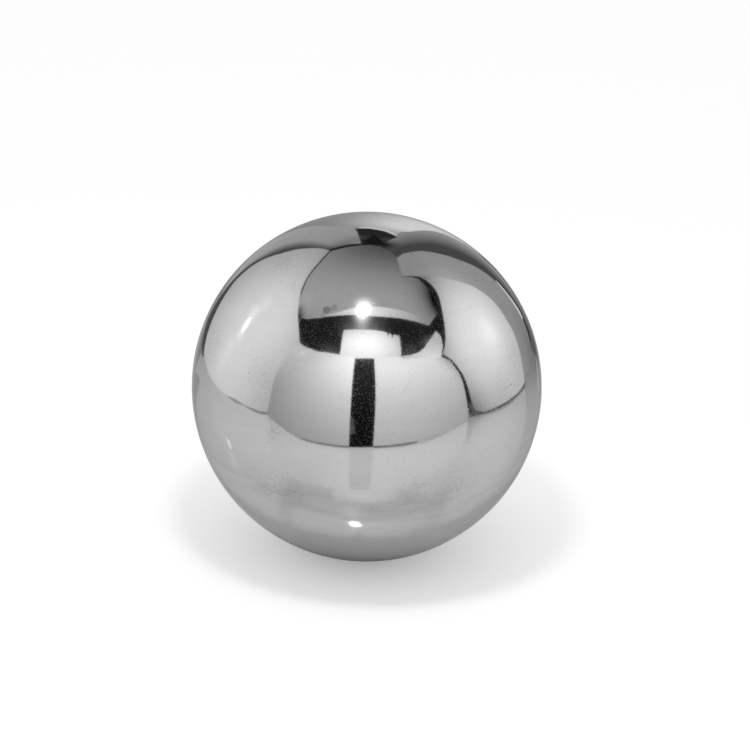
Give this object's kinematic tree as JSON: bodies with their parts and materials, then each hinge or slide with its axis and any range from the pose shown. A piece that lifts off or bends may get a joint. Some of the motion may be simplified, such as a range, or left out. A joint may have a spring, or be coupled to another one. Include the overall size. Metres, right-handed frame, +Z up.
{
  "type": "steel ball",
  "caption": "Solid polished steel ball, a plain mirror-bright sphere that rolls, weighs down or sits in a ring, cup or socket.",
  "frame": {"origin": "centre of the ball", "axes": "+Z up, away from the point that the ball stands on; the ball is round about every axis, and -Y faces the viewer"},
  "size_m": [0.05, 0.05, 0.05],
  "materials": {
    "polished_steel": "polished"
  },
  "bodies": {
    "root": {"ball": "polished_steel"}
  },
  "joints": []
}
